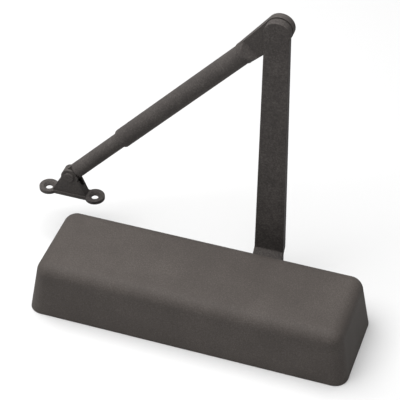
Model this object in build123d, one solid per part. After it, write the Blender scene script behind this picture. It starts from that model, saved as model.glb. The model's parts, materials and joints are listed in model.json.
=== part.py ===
from build123d import *
import os
from math import acos, cos, pi, radians, sin, tan

os.makedirs("parts", exist_ok=True)

# Frame: millimetres. The origin is the middle of the closer's mounting face, X runs along the cover,
# Y runs along the pinion towards the arm, and Z points away from the door.

# Cover
COVER_LENGTH = 311.0
COVER_HEIGHT = 97.7
COVER_DEPTH = 55.9
COVER_WALL = 2.4
COVER_CORNER = 13.2
COVER_EDGE = 12.6
END_LEAN = 8.9
SIDE_LEAN = 4.4

# Pinion, rack and cylinder
PINION_X = 49.3
AXIS_Z = 28.0
MODULE = 1.75
PINION_TEETH = 12
PRESSURE_ANGLE = 25.0
ADDENDUM = 0.8 * MODULE
DEDENDUM = 1.1 * MODULE
BACKLASH = 0.14
GEAR_HALF_WIDTH = 13.0
PISTON_TRAVEL = 33.0
CYLINDER_R = 18.5
BARREL_R = 24.5
BARREL_LEFT = -132.0
BARREL_RIGHT = 124.0
RUNNING_GAP = 0.05

# Housing
BASE_LENGTH = 280.0
BASE_HEIGHT = 84.0
BASE_THICK = 6.0
BASE_CORNER = 9.0
BOLT_SPACING_X = 254.0
BOLT_SPACING_Y = 68.0
BOLT_HOLE_R = 3.3
BOSS_R = 20.0
BOSS_HALF = 40.0
CAP_R = 20.5
CAP_LENGTH = 14.0
BEARING_R = 13.0
JOURNAL_R = 8.95
BEARING_IN = 19.5
BEARING_OUT = 33.5

# Power adjustment and springs
SEAT_LEFT = -113.5
SEAT_THICK = 8.0
SCREW_R = 4.0

# Main arm
ARM_LENGTH = 264.9
HUB_Y = (52.5, 62.5)
BAR_Y = (59.5, 67.5)
EYE_R = 12.0
BAR_HALF_AT_HUB = 14.4
BAR_HALF_AT_EYE = 11.1
PINION_SQUARE = 12.0
STEP_NEAR_Z = (37.5, 44.7)
STEP_FAR_Z = (40.5, 46.0)
STEP_BEND_R = 2.0
ARM_EDGE_R = 0.6
ELBOW_THREAD_R = 5.0

# Forearm
FOREARM_Y = 71.65
FOREARM_SLOPE = 47.12
HEAD_EYE_R = 12.5
HEAD_HALF_THICK = 3.35
HEAD_LENGTH = 48.0
HEAD_R = 10.2
TUBE_END = 220.3
TUBE_R = 9.4
ROD_R = 7.6
PIN_REACH = 301.4
ROD_START = 130.0
ELBOW_PIN_R = 6.5

# Foot
FOOT_HOLE_SPACING = 48.0
FOOT_EAR_R = 9.8
FOOT_THICK = 3.7
FOOT_DROP = 20.0
FOOT_HOLE_R = 3.4
FOOT_RIVET_R = 3.5
TONGUE_HALF = 2.3
CHEEK_IN = 2.5
CHEEK_OUT = 5.0
CHEEK_R = 8.4
PLATE_HALF = 6.25
FLANK_FOOT = (19.0, 16.5)
FLANK_TOP = (9.6, -4.0)
SLOT_FLOOR = 8.5
COUNTERSINK = 2.2
RIVET_HEAD_R = 5.4
RIVET_HEAD = 1.4

# Worked-out places
PITCH_R = MODULE * PINION_TEETH / 2
PINION_TIP_R = PITCH_R + ADDENDUM
WINDOW_GAP = PINION_TIP_R + 1.3
WINDOW_LEFT = PINION_X - WINDOW_GAP
WINDOW_RIGHT = PINION_X + PISTON_TRAVEL + WINDOW_GAP
PISTON_LEFT = WINDOW_LEFT - 12.0
PISTON_RIGHT = WINDOW_RIGHT + 13.0
PISTON_R = CYLINDER_R - RUNNING_GAP
ELBOW_Z = AXIS_Z + ARM_LENGTH


def bar_x(radius, x0, x1, y=0.0, z=AXIS_Z):
    """A round bar along X from x0 to x1."""
    return Pos((x0 + x1) / 2, y, z) * Rot(0, 90, 0) * Cylinder(radius, abs(x1 - x0))


def bar_y(radius, y0, y1, x=PINION_X, z=AXIS_Z):
    """A round bar along Y from y0 to y1."""
    return Pos(x, (y0 + y1) / 2, z) * Rot(90, 0, 0) * Cylinder(radius, abs(y1 - y0))


def bar_z(radius, z0, z1, x, y):
    """A round bar along Z from z0 to z1."""
    return Pos(x, y, (z0 + z1) / 2) * Cylinder(radius, abs(z1 - z0))


def ring_x(outer, inner, x0, x1, y=0.0, z=AXIS_Z):
    """A flat ring about an axis along X."""
    return bar_x(outer, x0, x1, y, z) - bar_x(inner, x0 - 1, x1 + 1, y, z)


def ring_y(outer, inner, y0, y1, x=PINION_X, z=AXIS_Z):
    """A flat ring about an axis along Y."""
    return bar_y(outer, y0, y1, x, z) - bar_y(inner, y0 - 1, y1 + 1, x, z)


def block(x0, x1, y0, y1, z0, z1):
    """A box between two corners."""
    return Pos((x0 + x1) / 2, (y0 + y1) / 2, (z0 + z1) / 2) * Box(x1 - x0, y1 - y0, z1 - z0)


def prism_y(points, y0, y1):
    """An outline of (x, z) points carried along Y from y0 to y1."""
    outline = Polyline(*[(x, y0, z) for x, z in points], close=True)
    return extrude(make_face(outline), amount=y1 - y0, dir=(0, 1, 0))


def prism_x(points, x0, x1):
    """An outline of (y, z) points carried along X from x0 to x1."""
    outline = Polyline(*[(x0, y, z) for y, z in points], close=True)
    return extrude(make_face(outline), amount=x1 - x0, dir=(1, 0, 0))


def hex_socket(across, depth, turn, place):
    """A hexagon socket cutter that sinks into a screw head."""
    sketch = RegularPolygon(across / 2, 6, major_radius=False)
    return place * turn * extrude(sketch, amount=depth)


def write(name, shape):
    """Write one node's STEP file."""
    export_step(shape, f"parts/{name}.step")


# ---------------------------------------------------------------- cover


def cover_form(inset):
    """The cover's outside, drawn in by inset: leaning walls, round corners and a rolled top edge."""
    depth = COVER_DEPTH - inset
    share = depth / COVER_DEPTH
    length = COVER_LENGTH - 2 * inset
    height = COVER_HEIGHT - 2 * inset
    corner = COVER_CORNER - inset
    foot = RectangleRounded(length, height, corner)
    top_length = length - 2 * END_LEAN * share
    top_height = height - 2 * SIDE_LEAN * share
    top = Pos(0, 0, depth) * RectangleRounded(top_length, top_height, corner)
    form = loft([foot, top], ruled=True)
    return fillet(form.faces().sort_by(Axis.Z)[-1].edges(), COVER_EDGE - inset)


def make_cover():
    """The snap-on cover with its slot for the pinion on the arm side."""
    slot_r = 16.5
    far = COVER_HEIGHT / 2 + 5
    near = BOSS_HALF - 2
    slot = bar_y(slot_r, near, far) + block(PINION_X - slot_r, PINION_X + slot_r, near, far, -1, AXIS_Z)
    return cover_form(0) - cover_form(COVER_WALL) - slot


def make_cover_clips():
    """Two bent spring clips, one at each end of the base, that grip the cover's ends."""
    sheet = 1.2
    clips = []
    for side in (-1, 1):
        outer = 140.0
        rise = 30.0
        tip = 146.6
        leg = [(outer - 6.5, BASE_THICK), (outer, BASE_THICK), (outer, rise), (tip, rise)]
        back = [(tip, rise + sheet), (outer - sheet, rise + sheet), (outer - sheet, BASE_THICK + sheet)]
        last = [(outer - 6.5, BASE_THICK + sheet)]
        points = [(side * x, z) for x, z in leg + back + last]
        clips.append(prism_y(points, -22, -10))
    return Compound(children=[clip.solid() for clip in clips])


# ---------------------------------------------------------------- housing

VALVE_Y = 18.0
VALVE_Z = 8.0
VALVE_R = 3.9
VALVE_HEAD = 13.0
VALVE_TIP_R = 2.2
VALVE_LENGTH = 24.0
SEAL_SECTION = 0.65
SEAL_DEPTH = 6.8
BACKCHECK_X = 88.0
OIL_PLUG_X = -20.0
WEB_HALF = 24.5


def make_housing():
    """The cast body: base with four bolt holes, barrel, pinion boss and every bore."""
    base = extrude(RectangleRounded(BASE_LENGTH, BASE_HEIGHT, BASE_CORNER), amount=BASE_THICK)
    web = block(BARREL_LEFT, BARREL_RIGHT, -WEB_HALF, WEB_HALF, 0, AXIS_Z)
    barrel = bar_x(BARREL_R, BARREL_LEFT, BARREL_RIGHT)
    boss = bar_y(BOSS_R, -BOSS_HALF, BOSS_HALF)
    boss_foot = block(PINION_X - BOSS_R, PINION_X + BOSS_R, -BOSS_HALF, BOSS_HALF, 0, AXIS_Z)
    body = base + web + barrel + boss + boss_foot
    body -= bar_x(CYLINDER_R, BARREL_LEFT - 1, BARREL_RIGHT + 1)
    body -= bar_x(CAP_R, BARREL_LEFT - 1, BARREL_LEFT + CAP_LENGTH)
    body -= bar_x(CAP_R, BARREL_RIGHT - CAP_LENGTH, BARREL_RIGHT + 1)
    body -= bar_y(BEARING_R, -BOSS_HALF - 1, BOSS_HALF + 1)
    for x in (-BOLT_SPACING_X / 2, BOLT_SPACING_X / 2):
        for y in (-BOLT_SPACING_Y / 2, BOLT_SPACING_Y / 2):
            body -= bar_z(BOLT_HOLE_R, -1, BASE_THICK + 1, x, y)
    wide = VALVE_R + RUNNING_GAP
    narrow = VALVE_TIP_R + RUNNING_GAP
    for y in (-VALVE_Y, VALVE_Y):
        body -= bar_x(wide, BARREL_RIGHT - VALVE_HEAD - 0.3, BARREL_RIGHT + 1, y, VALVE_Z)
        body -= bar_x(narrow, BARREL_RIGHT - VALVE_LENGTH - 2, BARREL_RIGHT, y, VALVE_Z)
    body -= bar_y(wide, -WEB_HALF - 1, -WEB_HALF + VALVE_HEAD + 0.3, BACKCHECK_X, VALVE_Z)
    body -= bar_y(narrow, -WEB_HALF, -WEB_HALF + VALVE_LENGTH + 2, BACKCHECK_X, VALVE_Z)
    body -= bar_y(wide, -WEB_HALF - 1, -WEB_HALF + 6.5, OIL_PLUG_X, VALVE_Z)
    return body


def make_valve():
    """A metering screw along -Z from its head at the origin: sealed head, then a tapered needle."""
    groove_width = 1.6
    groove_r = VALVE_R - 2 * SEAL_SECTION - 0.05
    head = Pos(0, 0, -VALVE_HEAD / 2) * Cylinder(VALVE_R, VALVE_HEAD)
    cutter = Cylinder(VALVE_R + 1, groove_width) - Cylinder(groove_r, groove_width)
    needle_length = VALVE_LENGTH - VALVE_HEAD
    needle = Pos(0, 0, -VALVE_HEAD - needle_length / 2) * Cone(0.9, VALVE_TIP_R, needle_length)
    screw = head - Pos(0, 0, -SEAL_DEPTH) * cutter + needle
    return screw - hex_socket(3.0, -3.5, Rot(0, 0, 0), Pos(0, 0, 0))


def make_valve_seal():
    """The round-section ring that sits in a metering screw's groove."""
    return Pos(0, 0, -SEAL_DEPTH) * Torus(VALVE_R - SEAL_SECTION, SEAL_SECTION)


VALVE_PLACES = {
    "sweep_valve": Pos(BARREL_RIGHT, -VALVE_Y, VALVE_Z) * Rot(0, 90, 0),
    "latch_valve": Pos(BARREL_RIGHT, VALVE_Y, VALVE_Z) * Rot(0, 90, 0),
    "backcheck_valve": Pos(BACKCHECK_X, -WEB_HALF, VALVE_Z) * Rot(90, 0, 0),
}


def make_oil_plug():
    """The short screw that closes the filling hole."""
    plug = bar_y(VALVE_R, -WEB_HALF, -WEB_HALF + 6.0, OIL_PLUG_X, VALVE_Z)
    place = Pos(OIL_PLUG_X, -WEB_HALF, VALVE_Z)
    return plug - hex_socket(3.0, -3.0, Rot(90, 0, 0), place)


def make_end_cap(face, inward, hole_r, spanner_holes):
    """A screwed-in cylinder end cap with an O-ring groove; inward is the X direction into the bore."""
    cap_r = CAP_R - RUNNING_GAP
    low, high = sorted((face, face + inward * (CAP_LENGTH - 0.5)))
    cap = bar_x(cap_r, low, high)
    groove_from, groove_to = sorted((face + inward * 8.5, face + inward * 11.1))
    cap -= ring_x(cap_r + 1, cap_r - 2.45, groove_from, groove_to)
    if hole_r:
        cap -= bar_x(hole_r, low - 1, high + 1)
    for y in spanner_holes:
        cap -= bar_x(2.5, face - inward, face + inward * 5, y)
    return cap


def make_end_cap_seals():
    """The two O-rings in the end caps' grooves."""
    section = 1.2
    major = CAP_R - RUNNING_GAP - section
    rings = []
    for x in (BARREL_LEFT + 9.8, BARREL_RIGHT - 9.8):
        rings.append(Pos(x, 0, AXIS_Z) * Rot(0, 90, 0) * Torus(major, section))
    return Compound(children=[ring.solid() for ring in rings])


# ---------------------------------------------------------------- pinion


def involute_flank(steps=5):
    """Points (radius, angle) of the right flank, from the base circle to the tip."""
    base_r = PITCH_R * cos(radians(PRESSURE_ANGLE))
    alpha = radians(PRESSURE_ANGLE)
    half_tooth = (MODULE * pi / 2 - BACKLASH) / (2 * PITCH_R)
    flank = []
    for k in range(steps + 1):
        r = base_r + 0.01 + (PINION_TIP_R - base_r - 0.01) * k / steps
        roll = acos(min(1.0, base_r / r))
        involute = tan(roll) - roll
        flank.append((r, half_tooth + (tan(alpha) - alpha) - involute))
    return flank


def make_gear():
    """The pinion's teeth, one of them pointing along +Z, as an outline carried along Y."""
    root_r = PITCH_R - DEDENDUM
    flank = involute_flank()
    foot_angle = flank[0][1]
    points = []
    for tooth in range(PINION_TEETH):
        middle = 2 * pi * tooth / PINION_TEETH
        left = [(root_r, -foot_angle)] + [(r, -a) for r, a in flank]
        right = [(r, a) for r, a in reversed(flank)] + [(root_r, foot_angle)]
        for r, a in left + right:
            points.append((PINION_X + r * sin(middle + a), AXIS_Z + r * cos(middle + a)))
    return prism_y(points, -GEAR_HALF_WIDTH, GEAR_HALF_WIDTH)


def make_pinion_shaft():
    """The hardened pinion: two journals, collars, teeth, a square end and a tapped hole."""
    collar_r = PINION_TIP_R - 0.6
    root_r = PITCH_R - DEDENDUM
    square_y0 = 50.5
    shaft = make_gear() + bar_y(root_r, -GEAR_HALF_WIDTH - 1.5, GEAR_HALF_WIDTH + 1.5)
    for side in (-1, 1):
        inner = side * (GEAR_HALF_WIDTH + 1.0)
        shaft += bar_y(collar_r, *sorted((inner, side * (BEARING_IN - 0.3))))
    shaft += bar_y(JOURNAL_R, -BOSS_HALF + 2.5, -BEARING_IN + 0.3)
    shaft += bar_y(JOURNAL_R, BEARING_IN - 0.3, square_y0)
    half = PINION_SQUARE / 2
    shaft += block(PINION_X - half, PINION_X + half, square_y0, HUB_Y[1] - 0.6, AXIS_Z - half, AXIS_Z + half)
    return shaft - bar_y(SCREW_R, HUB_Y[1] - 20, HUB_Y[1] + 1)


def make_bearing(side):
    """A plain bearing sleeve for one journal."""
    y0, y1 = sorted((side * BEARING_IN, side * BEARING_OUT))
    return ring_y(BEARING_R, JOURNAL_R + RUNNING_GAP, y0, y1)


def make_pinion_seals():
    """The two lip seals outside the bearings."""
    seals = []
    for side in (-1, 1):
        y0, y1 = sorted((side * (BEARING_OUT + 0.1), side * (BEARING_OUT + 4.5)))
        seals.append(ring_y(BEARING_R, JOURNAL_R + RUNNING_GAP, y0, y1))
    return Compound(children=[seal.solid() for seal in seals])


def make_bearing_nut():
    """The slotted nut that closes the arm side of the pinion boss."""
    flange_r = 15.0
    flange_top = BOSS_HALF + 6.5
    nut = bar_y(BEARING_R, BEARING_OUT + 4.6, BOSS_HALF) + bar_y(flange_r, BOSS_HALF, flange_top)
    nut -= bar_y(JOURNAL_R + 0.35, BOSS_HALF - 10, flange_top + 1)
    for turn in range(4):
        slot = block(flange_r - 2.2, flange_r + 2, -2, 2, -2.5, 2.5)
        nut -= Pos(PINION_X, flange_top - 1.9, AXIS_Z) * Rot(0, 45 + 90 * turn, 0) * slot
    return nut


def make_pinion_cap():
    """The plug that closes the other side of the pinion boss."""
    plug = bar_y(BEARING_R, -BOSS_HALF, -BEARING_OUT - 4.6) - bar_y(JOURNAL_R + 1, -BOSS_HALF, 0)
    flange_top = -BOSS_HALF - 2.4
    flange = bar_y(14.4, flange_top, -BOSS_HALF)
    return plug + flange - hex_socket(8.0, -2.0, Rot(90, 0, 0), Pos(PINION_X, flange_top, AXIS_Z))


# ---------------------------------------------------------------- piston and springs

CHAMBER_LEFT = WINDOW_RIGHT + 4.0
CHAMBER_R = 3.3
BALL_R = 3.0
RETAINER_R = 4.5
RING_LEFT = PISTON_RIGHT - 8.0


def rack_space(x):
    """The trapezoid between two rack teeth, centred on x, that a pinion tooth enters."""
    pitch_z = AXIS_Z + PITCH_R
    tip_z = pitch_z - ADDENDUM
    root_z = pitch_z + DEDENDUM
    slope = tan(radians(PRESSURE_ANGLE))
    half = (MODULE * pi / 2 + BACKLASH) / 2
    below = half + (ADDENDUM + 0.5) * slope
    above = half - DEDENDUM * slope
    corners = [(-below, tip_z - 0.5), (below, tip_z - 0.5), (above, root_z), (-above, root_z)]
    return prism_y([(x + dx, z) for dx, z in corners], -CYLINDER_R, CYLINDER_R)


def make_piston():
    """The piston with its window, rack, seal groove and check valve chamber."""
    floor_z = AXIS_Z - PINION_TIP_R - 0.7
    relief_z = AXIS_Z + PINION_TIP_R + 0.9
    tip_z = AXIS_Z + PITCH_R - ADDENDUM
    pitch = MODULE * pi
    piston = bar_x(PISTON_R, PISTON_LEFT, PISTON_RIGHT)
    piston -= block(WINDOW_LEFT, WINDOW_RIGHT, -CYLINDER_R, CYLINDER_R, floor_z, tip_z)
    for side in (-1, 1):
        y0, y1 = sorted((side * (GEAR_HALF_WIDTH + 0.3), side * CYLINDER_R))
        piston -= block(WINDOW_LEFT, WINDOW_RIGHT, y0, y1, floor_z, relief_z)
    for k in range(-2, 9):
        piston -= rack_space(PINION_X + k * pitch)
    piston -= ring_x(CYLINDER_R + 1, PISTON_R - 2.0, RING_LEFT, RING_LEFT + 2.5)
    piston -= bar_x(1.8, WINDOW_RIGHT - 1, CHAMBER_LEFT + 1)
    piston -= bar_x(CHAMBER_R, CHAMBER_LEFT, PISTON_RIGHT - 2)
    return piston - bar_x(RETAINER_R, PISTON_RIGHT - 2, PISTON_RIGHT + 1)


def make_spring(mean_r, wire_r, turns):
    """A round-wire compression spring between the seat and the piston."""
    start = SEAT_LEFT + SEAT_THICK + wire_r + 0.1
    end = PISTON_LEFT - wire_r - 0.1
    length = end - start
    coil = Helix(pitch=length / turns, height=length, radius=mean_r)
    wire = sweep(Plane(coil @ 0, z_dir=coil % 0) * Circle(wire_r), path=coil)
    return Pos(start, 0, AXIS_Z) * Rot(0, 90, 0) * wire


def make_spring_seat():
    """The threaded seat that the adjusting screw moves along the cylinder."""
    seat = bar_x(CYLINDER_R - 0.3, SEAT_LEFT, SEAT_LEFT + SEAT_THICK)
    return seat - bar_x(SCREW_R + RUNNING_GAP, SEAT_LEFT - 1, SEAT_LEFT + SEAT_THICK + 1)


def make_power_screw():
    """The spring adjusting screw: head outside the cap, neck, inner collar and thread."""
    head_length = 6.0
    neck_r = 5.0 - RUNNING_GAP
    inner_face = BARREL_LEFT + CAP_LENGTH - 0.5
    screw = bar_x(6.5, BARREL_LEFT - 0.05 - head_length, BARREL_LEFT - 0.05)
    screw += bar_x(neck_r, BARREL_LEFT - 0.1, inner_face + 0.1)
    screw += bar_x(7.0, inner_face + 0.05, inner_face + 3.5)
    screw += bar_x(SCREW_R, inner_face + 3, SEAT_LEFT + SEAT_THICK + 24)
    place = Pos(BARREL_LEFT - 0.05 - head_length, 0, AXIS_Z)
    return screw - hex_socket(6.0, 4.0, Rot(0, 90, 0), place)


# ---------------------------------------------------------------- main arm


def make_main_arm():
    """The forged arm: a tapered flat bar, stepped towards the body at its hub, with a round eye."""
    outline = [
        (PINION_X - BAR_HALF_AT_HUB, AXIS_Z),
        (PINION_X - BAR_HALF_AT_EYE, ELBOW_Z),
        (PINION_X + BAR_HALF_AT_EYE, ELBOW_Z),
        (PINION_X + BAR_HALF_AT_HUB, AXIS_Z),
    ]
    near, far = HUB_Y[0], BAR_Y[1]
    plan = prism_y(outline, near, far)
    plan += bar_y(EYE_R, near, far, z=ELBOW_Z)
    plan += bar_y(BAR_HALF_AT_HUB, near, far)
    low_z = AXIS_Z - 2 * EYE_R
    high_z = ELBOW_Z + 2 * EYE_R
    side = [
        (HUB_Y[0], low_z),
        (HUB_Y[0], STEP_NEAR_Z[0]),
        (BAR_Y[0], STEP_NEAR_Z[1]),
        (BAR_Y[0], high_z),
        (BAR_Y[1], high_z),
        (BAR_Y[1], STEP_FAR_Z[1]),
        (HUB_Y[1], STEP_FAR_Z[0]),
        (HUB_Y[1], low_z),
    ]
    profile = prism_x(side, PINION_X - 2 * EYE_R, PINION_X + 2 * EYE_R)
    bends = [edge for edge in profile.edges().filter_by(Axis.X) if AXIS_Z < edge.center().Z < ELBOW_Z]
    arm = plan & fillet(bends, STEP_BEND_R)
    rim = arm.edges() - arm.edges().filter_by(Axis.X) - arm.edges().filter_by(Axis.Y)
    arm = fillet(rim, ARM_EDGE_R)
    hole = PINION_SQUARE / 2 + RUNNING_GAP
    arm -= block(PINION_X - hole, PINION_X + hole, near - 1, far + 1, AXIS_Z - hole, AXIS_Z + hole)
    return arm - bar_y(ELBOW_THREAD_R, BAR_Y[0] + 2, far + 1, z=ELBOW_Z)


def make_arm_screw():
    """The hexagon screw that holds the arm on the pinion's square."""
    under = HUB_Y[1] + 2.0
    shank = bar_y(SCREW_R - RUNNING_GAP, HUB_Y[1] - 16, under)
    hexagon = extrude(RegularPolygon(6.5, 6, major_radius=False), amount=5.3)
    head = Pos(PINION_X, under, AXIS_Z) * Rot(-90, 0, 0) * hexagon
    return shank + head


EYE_FAR = FOREARM_Y + HEAD_HALF_THICK
HEAD_UNDER = EYE_FAR + 0.7


def make_elbow_screw():
    """The shoulder screw that the forearm turns on, screwed into the main arm."""
    screw = bar_y(ELBOW_THREAD_R - RUNNING_GAP, BAR_Y[0] + 2.1, BAR_Y[1] + 0.5, z=ELBOW_Z)
    screw += bar_y(ELBOW_PIN_R, BAR_Y[1] + 0.02, HEAD_UNDER, z=ELBOW_Z)
    screw += bar_y(9.5, HEAD_UNDER, HEAD_UNDER + 3.2, z=ELBOW_Z)
    place = Pos(PINION_X, HEAD_UNDER + 3.2, ELBOW_Z)
    return screw - hex_socket(6.0, -2.2, Rot(-90, 0, 0), place)


def make_elbow_washers():
    """Two friction washers, one on each side of the forearm's eye."""
    inner = ELBOW_PIN_R + RUNNING_GAP
    near = ring_y(11.0, inner, BAR_Y[1] + 0.05, BAR_Y[1] + 0.7, z=ELBOW_Z)
    far = ring_y(10.5, inner, EYE_FAR + 0.1, HEAD_UNDER - 0.02, z=ELBOW_Z)
    return Compound(children=[near.solid(), far.solid()])


def make_elbow_bushing():
    """The plain bush between the elbow screw's shoulder and the forearm's eye."""
    return ring_y(EYE_BORE_R, ELBOW_PIN_R + RUNNING_GAP, FOREARM_Y - HEAD_HALF_THICK, EYE_FAR, z=ELBOW_Z)


# ---------------------------------------------------------------- forearm

# The forearm is drawn lying along +X from the elbow and then turned into place.
FOREARM_PLACE = Pos(PINION_X, FOREARM_Y, ELBOW_Z) * Rot(0, 180 - FOREARM_SLOPE, 0)
EYE_BORE_R = 8.0
SWELL_FROM = 36.0
SWELL_TO = 43.0


def along(radius, u0, u1):
    """A round bar along the forearm's own axis."""
    return bar_x(radius, u0, u1, 0, 0)


def make_forearm_head():
    """The forged head: flat eye that swells into a round socket and a spigot for the tube."""
    flat = [(0, HEAD_EYE_R), (HEAD_LENGTH - 4, HEAD_R - 0.5), (HEAD_LENGTH - 4, 0.5 - HEAD_R), (0, -HEAD_EYE_R)]
    plate = prism_y(flat, -HEAD_HALF_THICK, HEAD_HALF_THICK)
    plate += bar_y(HEAD_EYE_R, -HEAD_HALF_THICK, HEAD_HALF_THICK, 0, 0)
    side = [
        (SWELL_FROM, -HEAD_HALF_THICK),
        (SWELL_TO, -HEAD_R),
        (HEAD_LENGTH, -HEAD_R),
        (HEAD_LENGTH, HEAD_R),
        (SWELL_TO, HEAD_R),
        (SWELL_FROM, HEAD_HALF_THICK),
    ]
    wedge = make_face(Polyline(*[(u, y, -HEAD_R - 1) for u, y in side], close=True))
    wedge = extrude(wedge, amount=2 * HEAD_R + 2, dir=(0, 0, 1))
    socket = along(HEAD_R, SWELL_FROM, HEAD_LENGTH) & wedge
    rim = socket.edges().filter_by(GeomType.CIRCLE).sort_by(Axis.X)[-1]
    socket = fillet(rim, 1.0)
    head = plate + socket + along(ROD_R, HEAD_LENGTH - 1, HEAD_LENGTH + 14)
    return head - bar_y(EYE_BORE_R, -HEAD_R, HEAD_R, 0, 0)


LOCK_U = TUBE_END - 12.0
BOSS_TOP = TUBE_R + 3.4


def make_forearm_tube():
    """The forearm's tube with a boss for the lock screw on its far side."""
    tube = along(TUBE_R, HEAD_LENGTH, TUBE_END)
    tube = fillet(tube.edges().filter_by(GeomType.CIRCLE).sort_by(Axis.X)[-1], 0.9)
    tube += bar_y(5.5, ROD_R, BOSS_TOP, LOCK_U, 0)
    tube -= along(ROD_R + RUNNING_GAP, HEAD_LENGTH - 1, TUBE_END + 1)
    return tube - bar_y(3.0, 0, BOSS_TOP + 1, LOCK_U, 0)


def make_rod_lock_screw():
    """The socket set screw that clamps the rod in the tube."""
    screw = bar_y(3.0 - RUNNING_GAP, ROD_R + 0.15, BOSS_TOP + 1.6, LOCK_U, 0)
    return screw - hex_socket(3.0, -2.5, Rot(-90, 0, 0), Pos(LOCK_U, BOSS_TOP + 1.6, 0))


def make_forearm_rod():
    """The sliding rod with a flat tongue and eye at the foot."""
    tongue_r = 8.4
    shoulder = PIN_REACH - 12.0
    rod = along(ROD_R, ROD_START, shoulder)
    rod = chamfer(rod.edges().filter_by(GeomType.CIRCLE).sort_by(Axis.X)[0], 1.0)
    plate = block(shoulder - 6, PIN_REACH, -TONGUE_HALF, TONGUE_HALF, -ROD_R + 0.3, ROD_R - 0.3)
    eye = bar_y(tongue_r, -TONGUE_HALF, TONGUE_HALF, PIN_REACH, 0)
    return rod + plate + eye - bar_y(FOOT_RIVET_R + RUNNING_GAP, -10, 10, PIN_REACH, 0)


# ---------------------------------------------------------------- foot

PIN_X = PINION_X - PIN_REACH * cos(radians(FOREARM_SLOPE))
PIN_Z = ELBOW_Z - PIN_REACH * sin(radians(FOREARM_SLOPE))
PLATE_TOP = PIN_Z - FOOT_DROP
PLATE_FACE = PLATE_TOP - FOOT_THICK


def make_foot_bracket():
    """The foot: a plate with two countersunk ears and a flared lug, slotted for the rod's tongue."""
    half_span = FOOT_HOLE_SPACING / 2
    low, high = FOREARM_Y - PLATE_HALF, FOREARM_Y + PLATE_HALF
    near, far = FOREARM_Y - CHEEK_OUT, FOREARM_Y + CHEEK_OUT
    plate = block(PIN_X - half_span, PIN_X + half_span, low, high, PLATE_FACE, PLATE_TOP)
    for side in (-1, 1):
        ear = bar_z(FOOT_EAR_R, PLATE_FACE, PLATE_TOP, PIN_X + side * half_span, FOREARM_Y)
        plate += fillet(ear.edges().sort_by(Axis.Z)[-1], 0.8)
    neck_x, neck_z = FLANK_TOP
    flank = [
        (PIN_X - FLANK_FOOT[0], PLATE_TOP - 1),
        (PIN_X - neck_x, PIN_Z + neck_z),
        (PIN_X + neck_x, PIN_Z + neck_z),
        (PIN_X + FLANK_FOOT[1], PLATE_TOP - 1),
    ]
    lug = prism_y(flank, near, far)
    lug += block(PIN_X - CHEEK_R, PIN_X + CHEEK_R, near, far, PLATE_TOP - 1, PIN_Z)
    lug += bar_y(CHEEK_R, near, far, PIN_X, PIN_Z)
    foot = plate + lug
    slot_y = (FOREARM_Y - CHEEK_IN, FOREARM_Y + CHEEK_IN)
    reach = FOOT_HOLE_SPACING
    foot -= block(PIN_X - reach, PIN_X + reach, *slot_y, PLATE_TOP + SLOT_FLOOR, PIN_Z + FOOT_DROP)
    foot -= bar_y(FOOT_RIVET_R, low - 1, high + 1, PIN_X, PIN_Z)
    sink = Cone(FOOT_HOLE_R, FOOT_HOLE_R + COUNTERSINK, COUNTERSINK)
    for side in (-1, 1):
        x = PIN_X + side * half_span
        foot -= bar_z(FOOT_HOLE_R, PLATE_FACE - 1, PLATE_TOP + 1, x, FOREARM_Y)
        foot -= Pos(x, FOREARM_Y, PLATE_TOP - COUNTERSINK / 2) * sink
    return foot


def make_foot_rivet():
    """The rivet through the foot's cheeks and the rod's eye."""
    near, far = FOREARM_Y - CHEEK_OUT, FOREARM_Y + CHEEK_OUT
    near_head = bar_y(RIVET_HEAD_R, near - RIVET_HEAD, near, PIN_X, PIN_Z)
    far_head = bar_y(RIVET_HEAD_R, far, far + RIVET_HEAD, PIN_X, PIN_Z)
    rivet = bar_y(FOOT_RIVET_R, near, far, PIN_X, PIN_Z)
    rivet += fillet(near_head.edges().sort_by(Axis.Y)[0], 1.0)
    return rivet + fillet(far_head.edges().sort_by(Axis.Y)[-1], 1.0)


# ---------------------------------------------------------------- files

write("cover", make_cover())
write("cover_clips", make_cover_clips())
write("housing", make_housing())
write("spring_end_cap", make_end_cap(BARREL_LEFT, 1, 5.0, (-14, 14)))
write("valve_end_cap", make_end_cap(BARREL_RIGHT, -1, 0, (-10, 10)))
write("end_cap_seals", make_end_cap_seals())
write("arm_side_bearing", make_bearing(1))
write("base_side_bearing", make_bearing(-1))
write("pinion_seals", make_pinion_seals())
write("bearing_nut", make_bearing_nut())
write("pinion_cap", make_pinion_cap())
write("oil_plug", make_oil_plug())
for valve_name, valve_place in VALVE_PLACES.items():
    write(valve_name, valve_place * make_valve())
    write(f"{valve_name}_seal", valve_place * make_valve_seal())

write("pinion_shaft", make_pinion_shaft())
write("piston", make_piston())
write("piston_ring", ring_x(PISTON_R, PISTON_R - 1.95, RING_LEFT + 0.05, RING_LEFT + 2.45))
write("check_ball", Pos(CHAMBER_LEFT + BALL_R + 0.4, 0, AXIS_Z) * Sphere(BALL_R))
write("ball_retainer", ring_x(RETAINER_R, 1.5, PISTON_RIGHT - 2, PISTON_RIGHT))
write("outer_spring", make_spring(15.6, 2.4, 12))
write("inner_spring", make_spring(10.4, 1.6, 17))
write("spring_seat", make_spring_seat())
write("power_screw", make_power_screw())

write("main_arm", make_main_arm())
write("arm_washer", ring_y(10.5, SCREW_R + 0.2, HUB_Y[1], HUB_Y[1] + 2.0))
write("arm_screw", make_arm_screw())
write("elbow_screw", make_elbow_screw())
write("elbow_washers", make_elbow_washers())
write("elbow_bushing", make_elbow_bushing())

write("forearm_head", FOREARM_PLACE * make_forearm_head())
write("forearm_tube", FOREARM_PLACE * make_forearm_tube())
write("rod_lock_screw", FOREARM_PLACE * make_rod_lock_screw())
write("forearm_rod", FOREARM_PLACE * make_forearm_rod())
write("foot_bracket", make_foot_bracket())
write("foot_rivet", make_foot_rivet())
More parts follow.
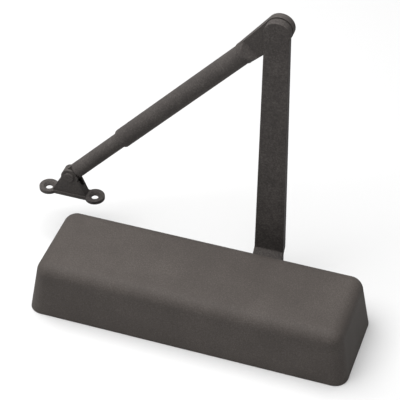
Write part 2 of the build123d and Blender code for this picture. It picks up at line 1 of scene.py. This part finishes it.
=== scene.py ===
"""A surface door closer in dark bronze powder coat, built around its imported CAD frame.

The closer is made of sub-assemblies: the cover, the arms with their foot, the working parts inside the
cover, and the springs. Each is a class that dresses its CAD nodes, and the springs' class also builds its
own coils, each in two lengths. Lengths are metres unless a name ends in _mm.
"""

import json
import logging
import math
from dataclasses import dataclass
from enum import Enum

import bpy
import numpy as np
from mathutils import Matrix, Vector


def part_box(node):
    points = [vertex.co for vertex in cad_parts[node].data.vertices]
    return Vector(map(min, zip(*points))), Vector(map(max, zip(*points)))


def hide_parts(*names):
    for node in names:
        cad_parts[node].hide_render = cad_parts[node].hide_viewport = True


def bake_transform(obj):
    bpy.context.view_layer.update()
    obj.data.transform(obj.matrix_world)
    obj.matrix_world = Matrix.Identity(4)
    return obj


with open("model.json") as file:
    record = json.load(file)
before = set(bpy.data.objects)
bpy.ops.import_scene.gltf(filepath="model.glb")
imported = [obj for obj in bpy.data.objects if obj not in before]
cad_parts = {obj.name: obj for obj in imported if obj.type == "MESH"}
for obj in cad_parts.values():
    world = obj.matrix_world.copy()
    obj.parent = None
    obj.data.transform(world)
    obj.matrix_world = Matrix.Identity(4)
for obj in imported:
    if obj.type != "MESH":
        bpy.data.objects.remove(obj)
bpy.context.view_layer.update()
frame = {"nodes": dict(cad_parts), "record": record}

logging.basicConfig(level=logging.INFO, format="%(message)s")
log = logging.getLogger("door_closer")

MM = 0.001

# A noise texture keeps mostly between these two values.
NOISE_LOW = 0.3
NOISE_HIGH = 0.7
POLYMER_IOR = 1.5


# ------------------------------------------------------------------ shader helpers


def linear_colour(hex_code: str) -> tuple[float, float, float, float]:
    """Turn an sRGB hex colour into linear light.

    Args:
        hex_code: Six hex digits, such as "4A4643".

    Returns:
        Linear red, green and blue, with an alpha of one.
    """
    channels = np.array([int(hex_code[i : i + 2], 16) for i in (0, 2, 4)]) / 255.0
    low = channels / 12.92
    high = ((channels + 0.055) / 1.055) ** 2.4
    red, green, blue = np.where(channels <= 0.04045, low, high)
    return float(red), float(green), float(blue), 1.0


def add_node(
    tree: bpy.types.NodeTree,
    kind: str,
    settings: dict | None = None,
    inputs: dict | None = None,
    links: dict | None = None,
) -> bpy.types.Node:
    """Add one shader node with its settings, socket values and incoming links.

    Args:
        tree: The material's node tree.
        kind: The node's Blender type name.
        settings: Attributes to set on the node.
        inputs: Socket name or index to a constant.
        links: Socket name or index to the output that feeds it.

    Returns:
        The new node.
    """
    node = tree.nodes.new(kind)
    for name, value in (settings or {}).items():
        setattr(node, name, value)
    for name, value in (inputs or {}).items():
        node.inputs[name].default_value = value
    for name, output in (links or {}).items():
        tree.links.new(output, node.inputs[name])
    return node


def per_metre(feature_mm: float) -> float:
    """Return the texture scale that draws one feature every feature_mm on Object coordinates."""
    return 1.0 / (feature_mm * MM)


def bare_material(name: str) -> tuple[bpy.types.Material, bpy.types.NodeTree, bpy.types.NodeSocket]:
    """Start a material with nothing in it but the place on the piece.

    Args:
        name: The material's name.

    Returns:
        The material, its node tree and the socket of its Object coordinates.
    """
    material = bpy.data.materials.new(name)
    material.use_nodes = True
    tree = material.node_tree
    tree.nodes.clear()
    return material, tree, add_node(tree, "ShaderNodeTexCoord").outputs["Object"]


# ------------------------------------------------------------------ finishes


@dataclass(frozen=True)
class PowderCoat:
    """Polyester powder coat with a dark bronze pigment, sprayed and baked on metal.

    Baking leaves fine droplets that never quite flow together, so the skin has an orange-peel grain
    and a broad, dull highlight. Ground pigment shows as a fine light and dark speckle.
    """

    name: str
    dark_hex: str
    middle_hex: str
    light_hex: str
    speckle_mm: float = 1.1
    grain_mm: float = 0.7
    cloud_mm: float = 38.0
    grain_height_mm: float = 0.03
    roughness: tuple[float, float] = (0.62, 0.78)
    specular: float = 0.14
    cloud_weight: float = 0.35
    ramp_stops: tuple[float, float, float] = (0.42, 0.68, 0.94)
    # How strongly convex edges are lightened, partly rubbed coat and partly painted highlight, and the
    # Pointiness range that does it.
    wear_and_highlight: float = 0.16
    wear_and_highlight_from: float = 0.52
    wear_and_highlight_to: float = 0.62
    bump_strength: float = 0.4

    def make(self) -> bpy.types.Material:
        """Build the material: clouded and speckled pigment, edges lightened as rubbed coat and painted
        highlight, grain in roughness and bump.

        Returns:
            The finished material.
        """
        material, tree, place = bare_material(self.name)
        cloud = add_node(
            tree,
            "ShaderNodeTexNoise",
            inputs={"Scale": per_metre(self.cloud_mm), "Detail": 3.0, "Roughness": 0.5},
            links={"Vector": place},
        ).outputs["Fac"]
        # The pigment's own speckle is too fine to show, so it is drawn over a millimetre coarse.
        speckle = add_node(
            tree,
            "ShaderNodeTexNoise",
            inputs={"Scale": per_metre(self.speckle_mm), "Detail": 2.0, "Roughness": 0.7},
            links={"Vector": place},
        ).outputs["Fac"]
        mixed = add_node(
            tree,
            "ShaderNodeMath",
            settings={"operation": "MULTIPLY_ADD"},
            inputs={1: self.cloud_weight},
            links={0: cloud, 2: speckle},
        ).outputs[0]
        ramp = add_node(tree, "ShaderNodeValToRGB", links={"Fac": mixed})
        ramp.color_ramp.elements[0].position = self.ramp_stops[0]
        ramp.color_ramp.elements[0].color = linear_colour(self.dark_hex)
        ramp.color_ramp.elements[1].position = self.ramp_stops[2]
        ramp.color_ramp.elements[1].color = linear_colour(self.light_hex)
        middle = ramp.color_ramp.elements.new(self.ramp_stops[1])
        middle.color = linear_colour(self.middle_hex)
        # Convex edges, which Pointiness finds on the mesh, are lightened towards the light tone: partly
        # coat rubbed thin by handling, partly a painted highlight along the rolled edges of the cover.
        point = add_node(tree, "ShaderNodeNewGeometry").outputs["Pointiness"]
        wear_and_highlight_mask = add_node(
            tree,
            "ShaderNodeMapRange",
            inputs={"From Min": self.wear_and_highlight_from, "From Max": self.wear_and_highlight_to, "To Max": self.wear_and_highlight},
            links={"Value": point},
        ).outputs["Result"]
        colour = add_node(
            tree,
            "ShaderNodeMix",
            settings={"data_type": "RGBA"},
            inputs={7: linear_colour(self.light_hex)},
            links={0: wear_and_highlight_mask, 6: ramp.outputs["Color"]},
        ).outputs[2]
        rough = add_node(
            tree,
            "ShaderNodeMapRange",
            inputs={
                "From Min": NOISE_LOW,
                "From Max": NOISE_HIGH,
                "To Min": self.roughness[0],
                "To Max": self.roughness[1],
            },
            links={"Value": speckle},
        ).outputs["Result"]
        grain = add_node(
            tree,
            "ShaderNodeTexNoise",
            inputs={"Scale": per_metre(self.grain_mm), "Detail": 2.0, "Roughness": 0.55},
            links={"Vector": place},
        ).outputs["Fac"]
        bump = add_node(
            tree,
            "ShaderNodeBump",
            inputs={"Strength": self.bump_strength, "Distance": self.grain_height_mm * MM},
            links={"Height": grain},
        ).outputs["Normal"]
        shader = add_node(
            tree,
            "ShaderNodeBsdfPrincipled",
            inputs={"IOR": POLYMER_IOR, "Specular IOR Level": self.specular, "Metallic": 0.0},
            links={"Base Color": colour, "Roughness": rough, "Normal": bump},
        )
        add_node(tree, "ShaderNodeOutputMaterial", links={"Surface": shader.outputs["BSDF"]})
        return material


@dataclass(frozen=True)
class Metal:
    """A bare or plated metal: turned, cast, ground or drawn.

    The tool or the mould leaves fine marks, which stretch along one axis on a drawn or turned piece
    and are even on a casting. They show as bands in the roughness and a faint bump.
    """

    name: str
    base_hex: str
    tarnish_hex: str
    mark_mm: float
    stretch: tuple[float, float, float] = (1.0, 1.0, 1.0)
    height_mm: float = 0.01
    roughness: tuple[float, float] = (0.28, 0.42)
    tarnish_mm: float = 9.0
    tarnish_stops: tuple[float, float] = (0.32, 0.68)
    bump_strength: float = 0.4

    def make(self) -> bpy.types.Material:
        """Build the material: tarnish in clouds, tool marks in roughness and bump.

        Returns:
            The finished material.
        """
        material, tree, place = bare_material(self.name)
        drawn = add_node(
            tree, "ShaderNodeMapping", inputs={"Scale": self.stretch}, links={"Vector": place}
        ).outputs["Vector"]
        marks = add_node(
            tree,
            "ShaderNodeTexNoise",
            inputs={"Scale": per_metre(self.mark_mm), "Detail": 4.0, "Roughness": 0.6},
            links={"Vector": drawn},
        ).outputs["Fac"]
        cloud = add_node(
            tree,
            "ShaderNodeTexNoise",
            inputs={"Scale": per_metre(self.tarnish_mm), "Detail": 3.0},
            links={"Vector": place},
        ).outputs["Fac"]
        ramp = add_node(tree, "ShaderNodeValToRGB", links={"Fac": cloud})
        ramp.color_ramp.elements[0].position = self.tarnish_stops[0]
        ramp.color_ramp.elements[0].color = linear_colour(self.tarnish_hex)
        ramp.color_ramp.elements[1].position = self.tarnish_stops[1]
        ramp.color_ramp.elements[1].color = linear_colour(self.base_hex)
        rough = add_node(
            tree,
            "ShaderNodeMapRange",
            inputs={
                "From Min": NOISE_LOW,
                "From Max": NOISE_HIGH,
                "To Min": self.roughness[0],
                "To Max": self.roughness[1],
            },
            links={"Value": marks},
        ).outputs["Result"]
        bump = add_node(
            tree,
            "ShaderNodeBump",
            inputs={"Strength": self.bump_strength, "Distance": self.height_mm * MM},
            links={"Height": marks},
        ).outputs["Normal"]
        shader = add_node(
            tree,
            "ShaderNodeBsdfPrincipled",
            inputs={"Metallic": 1.0},
            links={"Base Color": ramp.outputs["Color"], "Roughness": rough, "Normal": bump},
        )
        add_node(tree, "ShaderNodeOutputMaterial", links={"Surface": shader.outputs["BSDF"]})
        return material


@dataclass(frozen=True)
class Moulded:
    """A moulded rubber or filled polymer: even pigment, a faint flow mottle and a dull skin."""

    name: str
    base_hex: str
    light_hex: str
    roughness: tuple[float, float] = (0.55, 0.75)
    mottle_mm: float = 1.6
    height_mm: float = 0.02
    bump_strength: float = 0.3

    def make(self) -> bpy.types.Material:
        """Build the material: mottled pigment, uneven dullness and a fine bump.

        Returns:
            The finished material.
        """
        material, tree, place = bare_material(self.name)
        mottle = add_node(
            tree,
            "ShaderNodeTexNoise",
            inputs={"Scale": per_metre(self.mottle_mm), "Detail": 3.0},
            links={"Vector": place},
        ).outputs["Fac"]
        ramp = add_node(tree, "ShaderNodeValToRGB", links={"Fac": mottle})
        ramp.color_ramp.elements[0].color = linear_colour(self.base_hex)
        ramp.color_ramp.elements[1].color = linear_colour(self.light_hex)
        rough = add_node(
            tree,
            "ShaderNodeMapRange",
            inputs={"To Min": self.roughness[0], "To Max": self.roughness[1]},
            links={"Value": mottle},
        ).outputs["Result"]
        bump = add_node(
            tree,
            "ShaderNodeBump",
            inputs={"Strength": self.bump_strength, "Distance": self.height_mm * MM},
            links={"Height": mottle},
        ).outputs["Normal"]
        shader = add_node(
            tree,
            "ShaderNodeBsdfPrincipled",
            inputs={"IOR": POLYMER_IOR, "Metallic": 0.0},
            links={"Base Color": ramp.outputs["Color"], "Roughness": rough, "Normal": bump},
        )
        add_node(tree, "ShaderNodeOutputMaterial", links={"Surface": shader.outputs["BSDF"]})
        return material


class Finish(Enum):
    """Every finish on the closer, under the plain name of the real one."""

    # Powder coat on the pressed cover: a warm grey-brown with a visible speckle.
    COVER_COAT = PowderCoat("powder coat, dark bronze, on the cover", "413D3A", "4B4643", "5A5551")
    # The same coat on forged steel: thinner, a little darker and finer in grain.
    ARM_COAT = PowderCoat(
        "powder coat, dark bronze, on forged steel",
        "393635",
        "474341",
        "5B5754",
        speckle_mm=1.4,
        grain_mm=0.9,
        cloud_mm=24.0,
    )
    # Zinc plate over turned steel: pale, a little blue, with turning marks.
    ZINC = Metal("zinc plated turned steel", "B9B8B2", "96958F", 0.6, (1.0, 6.0, 6.0))
    # Ground and hardened steel: brighter, with the closest marks.
    GROUND = Metal("ground hardened steel", "C2C2C0", "A5A5A4", 0.4, (1.0, 8.0, 8.0), roughness=(0.18, 0.3))
    # Oil-tempered spring wire and strip: nearly black oxide with a dull shine.
    SPRING = Metal("oil tempered spring steel", "4E4E50", "343436", 0.8, roughness=(0.35, 0.5))
    # Sand-cast aluminium: an even, gritty skin.
    CASTING = Metal(
        "cast aluminium", "A9A9A6", "8B8B88", 1.2, height_mm=0.06, roughness=(0.45, 0.62)
    )
    # Machined grey iron: dark, with graphite in it.
    IRON = Metal("machined grey iron", "77746F", "5A5753", 0.7, height_mm=0.02, roughness=(0.4, 0.55))
    # Tin bronze bushes, turned and oiled.
    BRONZE = Metal("turned bearing bronze", "B98A4E", "94693A", 0.5, (6.0, 1.0, 6.0))
    # Nitrile rubber seals: moulded, black.
    NITRILE = Moulded("moulded nitrile rubber", "161616", "242423")
    # Filled PTFE piston ring: moulded and cut, off-white.
    PTFE = Moulded("filled PTFE", "C9C7C0", "D8D6D0", roughness=(0.4, 0.55))


SLOT_FINISH = {
    "dark_bronze_paint": Finish.COVER_COAT,
    "arm_paint": Finish.ARM_COAT,
    "plated_steel": Finish.ZINC,
    "hardened_steel": Finish.GROUND,
    "spring_steel": Finish.SPRING,
    "cast_aluminium": Finish.CASTING,
    "cast_iron": Finish.IRON,
    "bearing_bronze": Finish.BRONZE,
    "seal_rubber": Finish.NITRILE,
    "ring_plastic": Finish.PTFE,
}


class Paintbox:
    """Makes each finish once and puts it on pieces."""

    def __init__(self) -> None:
        """Start with no materials made."""
        self.made: dict[Finish, bpy.types.Material] = {}

    def dress(self, piece: bpy.types.Object, finish: Finish) -> None:
        """Give a piece one finish on all its faces.

        Args:
            piece: A new piece or a CAD node's object.
            finish: The finish to put on it.
        """
        if finish not in self.made:
            self.made[finish] = finish.value.make()
        piece.data.materials.clear()
        piece.data.materials.append(self.made[finish])


# ------------------------------------------------------------------ stage


@dataclass
class CameraView:
    """The camera: a long lens, in front of the closer, above it and to its right."""

    azimuth: float = 18.806
    elevation: float = 41.227
    place: tuple[float, float, float] = (0.364616, -1.068023, 1.131243)
    lens_mm: float = 151.668
    sensor_mm: float = 36.0
    sees_to: float = 20.0

    def make(self) -> bpy.types.Object:
        """Create the camera and make it the scene's.

        Returns:
            The camera object.
        """
        data = bpy.data.cameras.new("camera")
        data.sensor_width = self.sensor_mm
        data.lens = self.lens_mm
        data.dof.use_dof = False
        data.clip_end = self.sees_to
        camera = bpy.data.objects.new("camera", data)
        bpy.context.scene.collection.objects.link(camera)
        turn, tilt = math.radians(self.azimuth), math.radians(self.elevation)
        right = Vector((math.cos(turn), math.sin(turn), 0.0))
        back = Vector(
            (math.sin(turn) * math.cos(tilt), -math.cos(turn) * math.cos(tilt), math.sin(tilt))
        )
        up = back.cross(right)
        rotation = Matrix((right, up, back)).transposed().to_4x4()
        camera.matrix_world = Matrix.Translation(self.place) @ rotation
        bpy.context.scene.camera = camera
        return camera


@dataclass(frozen=True)
class SoftLight:
    """One square area light: where it hangs, what it points at, its side and its power in watts."""

    name: str
    place: tuple[float, float, float]
    target: tuple[float, float, float]
    side: float
    power: float

    def hang(self) -> None:
        """Hang the light and point it at its target."""
        data = bpy.data.lights.new(self.name, "AREA")
        data.size = self.side
        data.energy = self.power
        light = bpy.data.objects.new(self.name, data)
        bpy.context.scene.collection.objects.link(light)
        aim = (Vector(self.target) - Vector(self.place)).to_track_quat("-Z", "Y")
        light.matrix_world = Matrix.Translation(self.place) @ aim.to_matrix().to_4x4()


@dataclass
class Studio:
    """A pale floor, a pale surround and broad soft lights."""

    floor_half: float = 6.0
    floor_drop_mm: float = 0.5
    floor_hex: str = "D2D2D2"
    floor_roughness: float = 0.95
    world_hex: str = "FFFFFF"
    world_strength: float = 0.09
    lights: tuple[SoftLight, ...] = (
        SoftLight("over", (-0.5, -0.08, 2.2), (0.0, 0.0, 0.0), 2.4, 110.0),
        SoftLight("front", (-0.9, -1.6, 1.7), (0.0, 0.0, 0.05), 1.0, 1.0),
    )

    def make(self) -> None:
        """Build the floor, the surround and the lights."""
        self.lay_floor()
        world = bpy.data.worlds.new("surround")
        world.use_nodes = True
        background = world.node_tree.nodes["Background"]
        background.inputs["Color"].default_value = linear_colour(self.world_hex)
        background.inputs["Strength"].default_value = self.world_strength
        bpy.context.scene.world = world
        bpy.context.scene.view_settings.view_transform = "Standard"
        for light in self.lights:
            light.hang()

    def lay_floor(self) -> None:
        """Lay one flat square of matt paper just under the mounting face."""
        corners = np.array([[-1, -1], [1, -1], [1, 1], [-1, 1]], float) * self.floor_half
        mesh = bpy.data.meshes.new("floor")
        mesh.from_pydata([(x, y, -self.floor_drop_mm * MM) for x, y in corners], [], [(0, 1, 2, 3)])
        floor = bpy.data.objects.new("floor", mesh)
        bpy.context.scene.collection.objects.link(floor)
        material = bpy.data.materials.new("matt white paper sweep")
        material.use_nodes = True
        shader = material.node_tree.nodes["Principled BSDF"]
        shader.inputs["Base Color"].default_value = linear_colour(self.floor_hex)
        shader.inputs["Roughness"].default_value = self.floor_roughness
        mesh.materials.append(material)


# ------------------------------------------------------------------ sub-assemblies


@dataclass
class SubAssembly:
    """Nodes of the CAD frame that belong together and their dressing."""

    paints: Paintbox
    nodes: tuple[str, ...] = ()

    def build(self) -> None:
        """Dress the CAD nodes, whose meshes are left as they are."""
        slots = {row["node"]: row["material_slot"] for row in frame["record"]["subparts"]}
        for node in self.nodes:
            piece = frame["nodes"][node]
            self.paints.dress(piece, SLOT_FINISH[slots[node]])
            log.info("dressed %s", node)


@dataclass
class Arms(SubAssembly):
    """The main arm, the forearm, its sliding rod and the foot."""

    nodes: tuple[str, ...] = (
        "main_arm",
        "arm_washer",
        "arm_screw",
        "elbow_screw",
        "elbow_washers",
        "elbow_bushing",
        "forearm_head",
        "forearm_tube",
        "rod_lock_screw",
        "forearm_rod",
        "foot_bracket",
        "foot_rivet",
    )


@dataclass
class Works(SubAssembly):
    """Everything under the cover, which shows from behind and from below."""

    nodes: tuple[str, ...] = (
        "cover_clips",
        "housing",
        "spring_end_cap",
        "valve_end_cap",
        "end_cap_seals",
        "arm_side_bearing",
        "base_side_bearing",
        "pinion_seals",
        "bearing_nut",
        "pinion_cap",
        "oil_plug",
        "sweep_valve",
        "sweep_valve_seal",
        "latch_valve",
        "latch_valve_seal",
        "backcheck_valve",
        "backcheck_valve_seal",
        "pinion_shaft",
        "piston",
        "piston_ring",
        "check_ball",
        "ball_retainer",
        "spring_seat",
        "power_screw",
    )


@dataclass(frozen=True)
class Coil:
    """One round-wire compression spring: its CAD node and its sizes."""

    node: str
    mean_radius_mm: float
    wire_radius_mm: float
    turns: int


@dataclass
class Springs(SubAssembly):
    """The two nested compression springs, each made as two lengths of one coil.

    The seat's length lies towards the seat and the piston's towards the piston. They meet at a coil
    placed so that, over the seat's and the piston's travel, both would close up by the same share.
    """

    coils: tuple[Coil, ...] = (Coil("outer_spring", 15.6, 2.4, 12), Coil("inner_spring", 10.4, 1.6, 17))
    seat_travel_mm: float = 15.0
    piston_travel_mm: float = 33.0
    steps_a_turn: int = 30
    steps_round_wire: int = 14

    def tube(self, name: str, coil: Coil, first: float, last: float) -> bpy.types.Object:
        """Make one length of a coil as a closed tube.

        With t the angle turned, the path is x = start + pitch t / 2 pi, y = R sin t, z = axis - R cos t.
        N points from the coil's axis to the path, T along the path, and B is T cross N. The surface is
        the path plus the wire's radius times (cos v N + sin v B), for v once round the wire.

        Args:
            name: The piece's name.
            coil: The spring's sizes.
            first: The share of the coil's length where this piece begins.
            last: The share where it ends.

        Returns:
            The linked object, at the origin.
        """
        low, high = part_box(coil.node)
        seat_low, seat_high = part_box("spring_seat")
        axis_z = (seat_low.z + seat_high.z) / 2
        wire = coil.wire_radius_mm * MM
        radius = coil.mean_radius_mm * MM
        start, length = low.x + wire, high.x - low.x - 2 * wire
        rows = round(coil.turns * self.steps_a_turn * (last - first))
        t = np.linspace(first, last, rows) * coil.turns * 2 * math.pi
        rate = length / (coil.turns * 2 * math.pi)
        path = np.stack([start + rate * t, radius * np.sin(t), axis_z - radius * np.cos(t)], -1)
        outward = np.stack([0 * t, np.sin(t), -np.cos(t)], -1)
        along = np.stack([0 * t + rate, radius * np.cos(t), radius * np.sin(t)], -1)
        along /= np.linalg.norm(along, axis=1)[:, None]
        across = np.cross(along, outward)
        v = np.linspace(0.0, 2 * math.pi, self.steps_round_wire, endpoint=False)[None, :, None]
        ring = np.cos(v) * outward[:, None] + np.sin(v) * across[:, None]
        points = path[:, None] + wire * ring
        columns = self.steps_round_wire
        index = np.arange(rows * columns).reshape(rows, columns)
        turned = np.roll(index, -1, axis=1)
        quads = np.stack([index[:-1], turned[:-1], turned[1:], index[1:]], -1).reshape(-1, 4)
        caps = [index[0][::-1].tolist(), index[-1].tolist()]
        mesh = bpy.data.meshes.new(name)
        mesh.from_pydata(points.reshape(-1, 3).tolist(), [], quads.tolist() + caps)
        mesh.shade_smooth()
        piece = bpy.data.objects.new(name, mesh)
        bpy.context.scene.collection.objects.link(piece)
        return piece

    def build(self) -> None:
        """Build both lengths of both springs between the seat and the piston."""
        seat_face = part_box("spring_seat")[1].x
        piston_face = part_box("piston")[0].x
        share = self.seat_travel_mm / (self.seat_travel_mm + self.piston_travel_mm)
        meeting = seat_face + share * (piston_face - seat_face)
        for coil in self.coils:
            low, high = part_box(coil.node)
            wire = coil.wire_radius_mm * MM
            split = (meeting - low.x - wire) / (high.x - low.x - 2 * wire)
            lengths = (
                ("seat", 0.0, split, "spring_seat", "closer_body", seat_face, meeting),
                ("piston", split, 1.0, "closer_body", "piston", meeting, piston_face),
            )
            for end, first, last, body_a, body_b, x_a, x_b in lengths:
                piece = self.tube(f"{coil.node}_{end}_length", coil, first, last)
                self.paints.dress(piece, Finish.SPRING)
                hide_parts(coil.node)
                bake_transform(piece)
                log.info("built %s with %d faces", piece.name, len(piece.data.polygons))


@dataclass
class Cover(SubAssembly):
    """The snap-on cover, which keeps the CAD's shape."""

    nodes: tuple[str, ...] = ("cover",)


def main() -> None:
    """Build the closer, its stage and its camera."""
    CameraView().make()
    Studio().make()
    paints = Paintbox()
    for assembly in (Cover(paints), Arms(paints), Works(paints), Springs(paints)):
        assembly.build()


if __name__ == "__main__":
    main()
